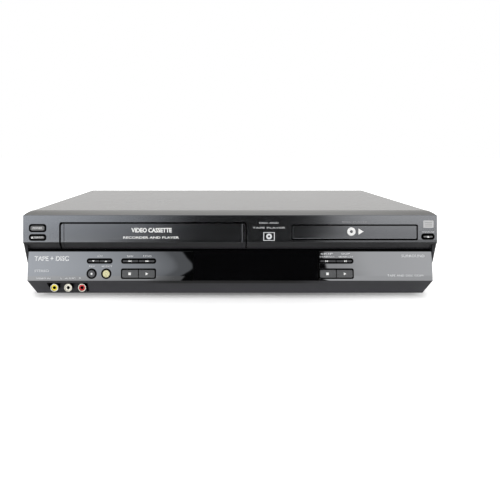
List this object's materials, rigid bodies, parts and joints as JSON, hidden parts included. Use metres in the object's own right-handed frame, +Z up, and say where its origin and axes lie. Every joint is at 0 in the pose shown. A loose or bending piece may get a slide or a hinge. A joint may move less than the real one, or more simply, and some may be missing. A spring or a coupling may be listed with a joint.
{
  "type": "dvd vcr combo player",
  "caption": "Low wide disc and video cassette player: curved charcoal front, silver key panel, cassette door, disc tray, front jacks.",
  "frame": {"origin": "centre of the box around the player, on the surface under its feet", "axes": "+X to the player's right as seen from the front, +Y to the back, +Z up"},
  "size_m": [0.43, 0.27, 0.0895],
  "materials": {
    "cover_paint": "fine matte texture",
    "zinc_steel": "zinc plated",
    "fascia_plastic": "metallic charcoal, semi gloss",
    "panel_silver": "metallic silver, glossy",
    "window_black": "polished smoked acrylic",
    "foot_rubber": "matte",
    "screw_black": "blackened",
    "black_plastic": "moulded",
    "jack_metal": "nickel plated",
    "jack_colours": "yellow, white and red",
    "circuit_board": "green solder mask",
    "power_circuit_board": "tan laminate",
    "tube_glass": "dark glass",
    "tinned_steel": "bright",
    "ribbon": "flat cable",
    "motor_steel": "plain",
    "drum_aluminium": "polished",
    "rod_steel": "ground",
    "pinch_rubber": "matte",
    "tray_plastic": "fine grain",
    "gear_plastic": "natural acetal",
    "key_silver": "metallic grey",
    "key_green": "pale yellow-green"
  },
  "bodies": {
    "case": {"top_cover": "cover_paint", "base_pan": "zinc_steel", "rear_panel": "zinc_steel", "front_fascia": "fascia_plastic", "control_panel": "panel_silver", "display_window": "window_black", "feet": "foot_rubber", "cover_screws": "screw_black", "front_jack_block": "black_plastic", "front_jack_sleeves": "jack_metal", "front_jack_inserts": "jack_colours", "front_board": "circuit_board", "front_board_parts": "black_plastic", "display_tube": "tube_glass", "main_board": "circuit_board", "main_board_parts": "black_plastic", "power_board": "power_circuit_board", "power_board_parts": "black_plastic", "tuner_box": "tinned_steel", "scart_sockets": "black_plastic", "rear_jack_block": "black_plastic", "mains_inlet": "black_plastic", "ribbon_cables": "ribbon", "deck_chassis": "tinned_steel", "deck_motor": "motor_steel", "drum_base": "drum_aluminium", "tape_guides": "rod_steel", "drive_frame": "black_plastic", "drive_motors": "motor_steel", "clamp_bridge": "tinned_steel", "guide_rods": "rod_steel"},
    "power": {"power_button": "key_silver"},
    "eject": {"eject_button": "key_silver"},
    "open_close": {"open_close_button": "key_silver"},
    "channel_down": {"channel_down_button": "key_silver"},
    "channel_up": {"channel_up_button": "key_silver"},
    "record": {"record_button": "key_silver"},
    "select": {"select_button": "key_green"},
    "rewind": {"rewind_button": "key_silver"},
    "fast_forward": {"fast_forward_button": "key_silver"},
    "tape_stop": {"tape_stop_button": "key_silver"},
    "tape_play": {"tape_play_button": "key_silver"},
    "skip_back": {"skip_back_button": "key_silver"},
    "skip_forward": {"skip_forward_button": "key_silver"},
    "disc_stop": {"disc_stop_button": "key_silver"},
    "disc_play": {"disc_play_button": "key_silver"},
    "door": {"cassette_door": "fascia_plastic"},
    "holder": {"cassette_holder": "tinned_steel"},
    "head_drum": {"head_drum": "drum_aluminium"},
    "capstan": {"capstan": "rod_steel"},
    "supply_reel": {"supply_reel": "black_plastic"},
    "takeup_reel": {"takeup_reel": "black_plastic"},
    "pinch_arm": {"pinch_arm": "pinch_rubber"},
    "tray": {"disc_tray": "tray_plastic", "tray_front": "fascia_plastic"},
    "loading_gear": {"loading_gear": "gear_plastic"},
    "turntable": {"turntable": "black_plastic"},
    "clamp_disc": {"clamp_disc": "black_plastic"},
    "sled": {"pickup_sled": "black_plastic"},
    "feed_gear": {"feed_gear": "gear_plastic"}
  },
  "joints": [
    {"name": "power_press", "type": "slide", "parent": "case", "child": "power", "axis": [0, 1, 0], "range_m": [0, 0.0008], "stiffness_N_per_m": 400, "springref_m": -0.0005},
    {"name": "eject_press", "type": "slide", "parent": "case", "child": "eject", "axis": [0, 1, 0], "range_m": [0, 0.0008], "stiffness_N_per_m": 400, "springref_m": -0.0005},
    {"name": "open_close_press", "type": "slide", "parent": "case", "child": "open_close", "axis": [0, 1, 0], "range_m": [0, 0.0008], "stiffness_N_per_m": 400, "springref_m": -0.0005},
    {"name": "channel_down_press", "type": "slide", "parent": "case", "child": "channel_down", "axis": [0, 1, 0], "range_m": [0, 0.0008], "stiffness_N_per_m": 400, "springref_m": -0.0005},
    {"name": "channel_up_press", "type": "slide", "parent": "case", "child": "channel_up", "axis": [0, 1, 0], "range_m": [0, 0.0008], "stiffness_N_per_m": 400, "springref_m": -0.0005},
    {"name": "record_press", "type": "slide", "parent": "case", "child": "record", "axis": [0, 1, 0], "range_m": [0, 0.0008], "stiffness_N_per_m": 400, "springref_m": -0.0005},
    {"name": "select_press", "type": "slide", "parent": "case", "child": "select", "axis": [0, 1, 0], "range_m": [0, 0.0008], "stiffness_N_per_m": 400, "springref_m": -0.0005},
    {"name": "rewind_press", "type": "slide", "parent": "case", "child": "rewind", "axis": [0, 1, 0], "range_m": [0, 0.0008], "stiffness_N_per_m": 400, "springref_m": -0.0005},
    {"name": "fast_forward_press", "type": "slide", "parent": "case", "child": "fast_forward", "axis": [0, 1, 0], "range_m": [0, 0.0008], "stiffness_N_per_m": 400, "springref_m": -0.0005},
    {"name": "tape_stop_press", "type": "slide", "parent": "case", "child": "tape_stop", "axis": [0, 1, 0], "range_m": [0, 0.0008], "stiffness_N_per_m": 400, "springref_m": -0.0005},
    {"name": "tape_play_press", "type": "slide", "parent": "case", "child": "tape_play", "axis": [0, 1, 0], "range_m": [0, 0.0008], "stiffness_N_per_m": 400, "springref_m": -0.0005},
    {"name": "skip_back_press", "type": "slide", "parent": "case", "child": "skip_back", "axis": [0, 1, 0], "range_m": [0, 0.0008], "stiffness_N_per_m": 400, "springref_m": -0.0005},
    {"name": "skip_forward_press", "type": "slide", "parent": "case", "child": "skip_forward", "axis": [0, 1, 0], "range_m": [0, 0.0008], "stiffness_N_per_m": 400, "springref_m": -0.0005},
    {"name": "disc_stop_press", "type": "slide", "parent": "case", "child": "disc_stop", "axis": [0, 1, 0], "range_m": [0, 0.0008], "stiffness_N_per_m": 400, "springref_m": -0.0005},
    {"name": "disc_play_press", "type": "slide", "parent": "case", "child": "disc_play", "axis": [0, 1, 0], "range_m": [0, 0.0008], "stiffness_N_per_m": 400, "springref_m": -0.0005},
    {"name": "door_swing", "type": "hinge", "parent": "case", "child": "door", "pos_m": [-0.0802, -0.1289, 0.0826], "axis": [1, 0, 0], "range_deg": [0, 90], "stiffness_Nm_per_rad": 0.003, "springref_deg": -28.65},
    {"name": "holder_lower", "type": "slide", "parent": "case", "child": "holder", "axis": [0, 0, -1], "range_m": [0, 0.017]},
    {"name": "head_drum_turn", "type": "hinge", "parent": "case", "child": "head_drum", "pos_m": [-0.0802, 0.0465, 0.06], "axis": [0, 0, 1], "continuous": true},
    {"name": "capstan_turn", "type": "hinge", "parent": "case", "child": "capstan", "pos_m": [-0.0082, 0.0155, 0.024], "axis": [0, 0, 1], "continuous": true},
    {"name": "supply_reel_turn", "type": "hinge", "parent": "case", "child": "supply_reel", "pos_m": [-0.12595, -0.05, 0.033], "axis": [0, 0, 1], "continuous": true},
    {"name": "takeup_reel_turn", "type": "hinge", "parent": "case", "child": "takeup_reel", "pos_m": [-0.03445, -0.05, 0.033], "axis": [0, 0, 1], "continuous": true},
    {"name": "pinch_swing", "type": "hinge", "parent": "case", "child": "pinch_arm", "pos_m": [0.0078, 0.0355, 0.05], "axis": [0, 0, 1], "range_deg": [0, 29]},
    {"name": "tray_slide", "type": "slide", "parent": "case", "child": "tray", "axis": [0, -1, 0], "range_m": [0, 0.132]},
    {"name": "loading_gear_turn", "type": "hinge", "parent": "case", "child": "loading_gear", "pos_m": [0.0934, -0.1035, 0.064], "axis": [0, 0, 1], "continuous": true},
    {"name": "turntable_turn", "type": "hinge", "parent": "case", "child": "turntable", "pos_m": [0.1294, -0.0665, 0.068], "axis": [0, 0, 1], "continuous": true},
    {"name": "clamp_disc_turn", "type": "hinge", "parent": "case", "child": "clamp_disc", "pos_m": [0.1294, -0.0665, 0.078], "axis": [0, 0, 1], "continuous": true},
    {"name": "sled_slide", "type": "slide", "parent": "case", "child": "sled", "axis": [0, 1, 0], "range_m": [0, 0.034]},
    {"name": "feed_gear_turn", "type": "hinge", "parent": "case", "child": "feed_gear", "pos_m": [0.1614, -0.0225, 0.0585], "axis": [0, 0, 1], "continuous": true}
  ],
  "couplings": [
    {"joint": "loading_gear_turn", "follows": "tray_slide", "rad_per_m": 100},
    {"joint": "feed_gear_turn", "follows": "sled_slide", "rad_per_m": -166.67}
  ]
}
